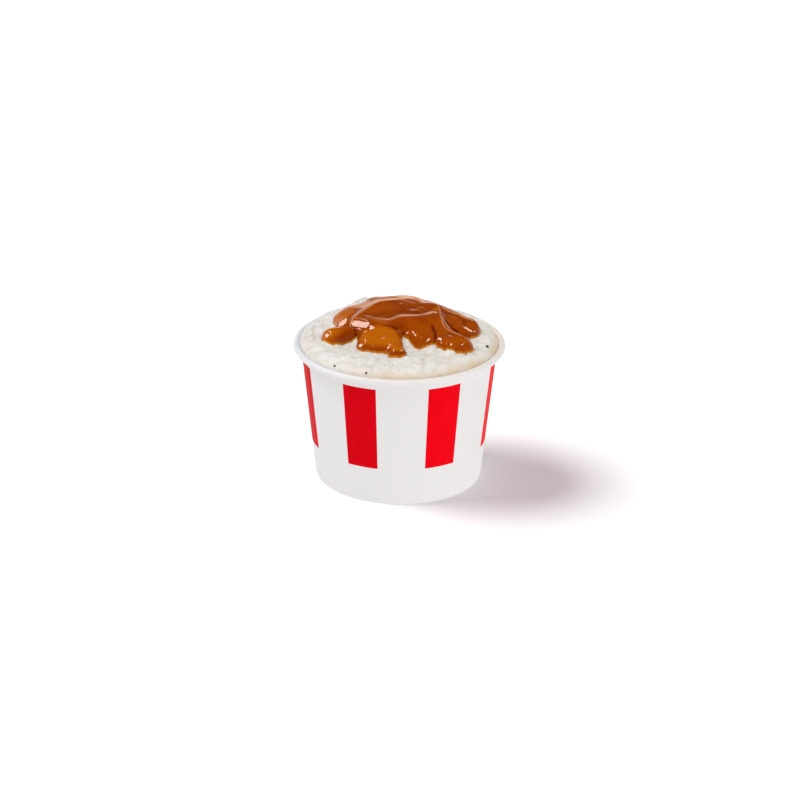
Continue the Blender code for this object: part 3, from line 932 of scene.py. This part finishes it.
def stripes(made, x, y, z):
    """1 on the printed stripes of the wall's outside, 0 elsewhere."""
    angle = made.math("ARCTAN2", x, made.math("MULTIPLY", y, -1.0))
    turns = made.math("MULTIPLY", angle, STRIPE_COUNT / math.tau)
    shift = 0.5 - STRIPE_GAP_ANGLE / 360.0 * STRIPE_COUNT
    period = made.math("FRACT", made.math("ADD", turns, shift + STRIPE_COUNT))
    from_gap = made.math("ABSOLUTE", made.math("SUBTRACT", period, 0.5))
    stripe_edge = 0.5 - STRIPE_WIDTH / 360.0 * STRIPE_COUNT / 2
    sideways = made.math("GREATER_THAN", from_gap, stripe_edge)
    above = made.math("GREATER_THAN", z, STRIPE_LOW)
    below = made.math("LESS_THAN", z, STRIPE_HIGH)
    squares = [made.math("MULTIPLY", part, part) for part in (x, y)]
    radius = made.math("SQRT", made.math("ADD", *squares))
    slope = (SHOULDER_RADIUS - FOOT_RADIUS) / SHOULDER_LEVEL
    middle = made.math("ADD", made.math("MULTIPLY", z, slope), FOOT_RADIUS - PAPER / 2)
    outside = made.math("GREATER_THAN", radius, middle)
    round_tub = made.math("MULTIPLY", sideways, outside)
    return made.math("MULTIPLY", round_tub, made.math("MULTIPLY", above, below))


def paper_material():
    """White board with painted warm light on the rim, and stripes whose red grows fuller to the
    right.
    """
    made = Material("tub_paper")
    where = made.node("ShaderNodeTexCoord")
    split = made.node("ShaderNodeSeparateXYZ")
    made.link(where.outputs["Object"], split.inputs[0])
    x, y, z = split.outputs
    white = made.mottle(PAPER_MOTTLE, WHITES)
    # painted warm light on the front and right of the rim
    rim = made.ramp(made.math("SUBTRACT", x, y), *RIM_WARM_LIGHT_TURN, white, RIM_WARM_LIGHT_COLOUR)
    white = made.ramp(z, *RIM_WARM_LIGHT_RISE, white, rim)
    left_red = made.mottle(PRINT_MOTTLE, LEFT_REDS)
    right_red = made.mottle(PRINT_MOTTLE, RIGHT_REDS)
    red = made.ramp(x, *RED_TURN, left_red, right_red)
    print_share = stripes(made, x, y, z)
    made.paint(made.mix(print_share, white, red))
    dulled = made.math("MULTIPLY", print_share, PAPER_GLOSS - PRINT_GLOSS)
    gloss = made.math("SUBTRACT", PAPER_GLOSS, dulled)
    made.finish(PAPER_FINISH)
    made.link(gloss, made.shader.inputs["Specular IOR Level"])
    made.bump(*PAPER_BUMPS)
    return made.material


def mash_material():
    """Cream with painted shade in its creases, and a patchy brown along the rim to the front right,
    partly the mash's own colour and partly painted shade.
    """
    made = Material("mashed_potato")
    cream = made.mottle(MASH_MOTTLE, CREAMS)
    # painted shade in the creases
    shaded_cream = made.ramp(made.field("crease_shade"), *CREASE_SHADE_DEPTHS, cream, CREASE_SHADE_COLOUR)
    # patchy brown at the front-right rim: partly the mash's own, partly painted shade
    patchy = made.math("MULTIPLY", made.field("edge"), made.noise(*MASH_RIM_BROWN_AND_SHADE_PATCHES))
    made.paint(made.ramp(patchy, *MASH_RIM_BROWN_AND_SHADE_SHARES, shaded_cream, MASH_RIM_BROWN_AND_SHADE))
    made.finish(MASH_FINISH)
    made.bump(*MASH_BUMPS)
    return made.material


def pepper_material():
    """Nearly black, dull and rough."""
    made = Material("pepper")
    made.paint(made.mottle(PEPPER_MOTTLE, PEPPER_BLACKS))
    made.finish(PEPPER_FINISH)
    made.bump(*PEPPER_BUMPS)
    return made.material


def gravy_material():
    """Glossy brown: paler where thin and with painted light on some lobes, with painted highlights
    on crests and painted shade in hollows.
    """
    made = Material("gravy")
    colour = made.mottle(GRAVY_MOTTLE, GRAVY_BROWNS)
    # paler gravy: partly thinner, partly painted light
    colour = made.ramp(made.field("lightness"), *PALE_AND_LIT_SHARES, colour, PALE_AND_LIT_COLOUR)
    # painted shade in the hollows
    colour = made.ramp(made.field("hollow"), *HOLLOW_SHADE_DEPTHS, colour, HOLLOW_SHADE_COLOUR)
    # painted highlights along the crests and streaks
    colour = made.ramp(made.field("crest"), *CREST_HIGHLIGHT_SHARES, colour, CREST_HIGHLIGHT_COLOUR)
    made.paint(made.ramp(made.field("thickness"), *THIN_GRAVY, THIN_COLOUR, colour))
    made.finish(GRAVY_FINISH)
    return made.material


# --- Pieces -----------------------------------------------------------------------


def dress(piece, material, node=None):
    """Give a piece its material, make it ride on the root, and hide the CAD part it stands in for.
    """
    piece.data.materials.clear()
    piece.data.materials.append(material)
    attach(piece, "root")
    if node:
        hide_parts(node)
    return piece


def build_pieces():
    """Every visible piece, and the gravy, which has a light of its own."""
    paper = paper_material()
    gravy = dress(gravy_piece(), gravy_material(), "gravy")
    pieces = [
        dress(turned_piece("tub_wall_paper", wall_line()), paper, "tub_wall"),
        dress(turned_piece("tub_base_paper", base_line()), paper, "tub_base"),
        dress(mash_piece(), mash_material(), "mash"),
        dress(pepper_piece(), pepper_material()),
        gravy,
    ]
    return pieces, gravy


# --- Floor, light and camera ------------------------------------------------------


def build_stage():
    """A white floor with lights of its own, which neither lights nor shades the object."""
    mesh = bpy.data.meshes.new("floor")
    half = FLOOR_HALF
    corners = [(-half, -half, 0), (half, -half, 0), (half, half, 0), (-half, half, 0)]
    mesh.from_pydata(corners, [], [(0, 1, 2, 3)])
    floor = new_object("floor", mesh)
    floor.visible_diffuse = False
    floor.visible_glossy = False
    floor.visible_shadow = False
    white = Material("floor_white")
    white.finish(FLOOR_FINISH)
    mesh.materials.append(white.material)
    return floor


def build_world():
    """A soft room: bright round the horizon and below it, dim overhead."""
    world = bpy.data.worlds.new("studio")
    bpy.context.scene.world = world
    world.use_nodes = True
    tree = world.node_tree
    where = tree.nodes.new("ShaderNodeTexCoord")
    split = tree.nodes.new("ShaderNodeSeparateXYZ")
    tree.links.new(where.outputs["Generated"], split.inputs[0])
    ramp = tree.nodes.new("ShaderNodeValToRGB")
    tree.links.new(split.outputs[2], ramp.inputs[0])
    ramp.color_ramp.interpolation = "EASE"
    low, high = ramp.color_ramp.elements
    low.position, high.position = ROOM_BRIGHT_BELOW, ROOM_DIM_ABOVE
    low.color = (*ROOM_COLOUR, 1.0)
    high.color = (*[part * ROOM_DIMNESS for part in ROOM_COLOUR], 1.0)
    tree.links.new(ramp.outputs[0], tree.nodes["Background"].inputs["Color"])


def sun(name, azimuth, elevation, strength, width, colour, lit, glint_only):
    """A distant light of some width that falls only on the given objects."""
    light = bpy.data.lights.new(name, "SUN")
    light.energy = strength
    light.angle = math.radians(width)
    light.color = colour
    holder = new_object(name, light)
    turn, lift = math.radians(azimuth), math.radians(elevation)
    level = math.cos(lift)
    towards = Vector((math.sin(turn) * level, -math.cos(turn) * level, math.sin(lift)))
    holder.rotation_mode = "QUATERNION"
    holder.rotation_quaternion = towards.to_track_quat("Z", "Y")
    holder.visible_diffuse = not glint_only
    holder.visible_glossy = glint_only
    receivers = bpy.data.collections.new(name + "_falls_on")
    for piece in lit:
        receivers.objects.link(piece)
    holder.light_linking.receiver_collection = receivers


def build_light(pieces, gravy, floor):
    """The room and the distant lights."""
    build_world()
    groups = {"part": pieces, "gravy": [gravy], "floor": [floor]}
    for name, azimuth, elevation, strength, width, colour, lit, glint_only in LIGHTS:
        sun(name, azimuth, elevation, strength, width, colour, groups[lit], glint_only)
    bpy.context.scene.view_settings.view_transform = "Standard"


def build_camera():
    """A long lens in front of the tub, looking down on it and leaning a little."""
    camera = bpy.data.cameras.new("camera")
    camera.sensor_width = CAMERA_SENSOR
    camera.lens = CAMERA_LENS
    camera.clip_end = CAMERA_REACH
    holder = new_object("camera", camera)
    elevation = math.radians(CAMERA_ELEVATION)
    right = Vector((1.0, 0.0, 0.0))
    back = Vector((0.0, -math.cos(elevation), math.sin(elevation)))
    place = Matrix.Translation(Vector(CAMERA_TARGET) + back * CAMERA_DISTANCE)
    turn = Matrix((right, back.cross(right), back)).transposed().to_4x4()
    lean = Matrix.Rotation(math.radians(CAMERA_LEAN), 4, "Z")
    holder.matrix_world = place @ turn @ lean
    bpy.context.scene.camera = holder


pieces, gravy = build_pieces()
floor = build_stage()
build_light(pieces, gravy, floor)
build_camera()
